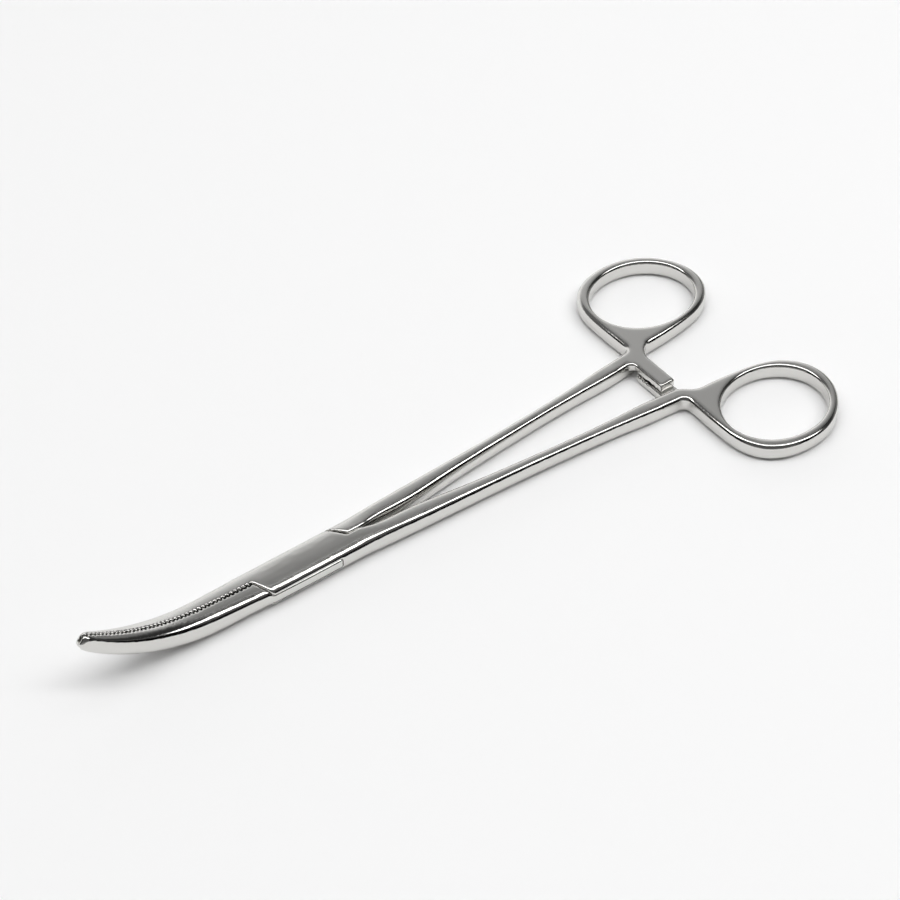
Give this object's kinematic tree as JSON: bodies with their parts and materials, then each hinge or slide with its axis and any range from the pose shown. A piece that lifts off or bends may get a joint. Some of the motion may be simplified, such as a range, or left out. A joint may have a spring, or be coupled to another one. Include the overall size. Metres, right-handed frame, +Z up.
{
  "type": "haemostatic forceps",
  "caption": "Curved haemostatic forceps with a box lock, cross-serrated jaws, a ratchet catch and a finger ring on each half, lying closed.",
  "frame": {"origin": "on the pivot's axis at the level of the table, on the underside of the box lock", "axes": "+X from the tips towards the finger rings, +Y across the instrument towards the half whose tongue passes through the box, +Z up from the table, the way the jaws curve"},
  "size_m": [0.1797, 0.0728, 0.0155],
  "materials": {
    "box_half_steel": "satin flats and polished round edges",
    "tongue_half_steel": "satin flats and polished round edges",
    "pin_steel": "satin, ground flush with the box"
  },
  "bodies": {
    "box_body": {"box_half": "box_half_steel", "pivot_pin": "pin_steel"},
    "tongue_body": {"tongue_half": "tongue_half_steel"}
  },
  "joints": [
    {"name": "box_lock_hinge", "type": "hinge", "parent": "box_body", "child": "tongue_body", "pos_m": [0, 0, 0.0026], "axis": [0, 0, 1], "range_deg": [0, 90]}
  ]
}
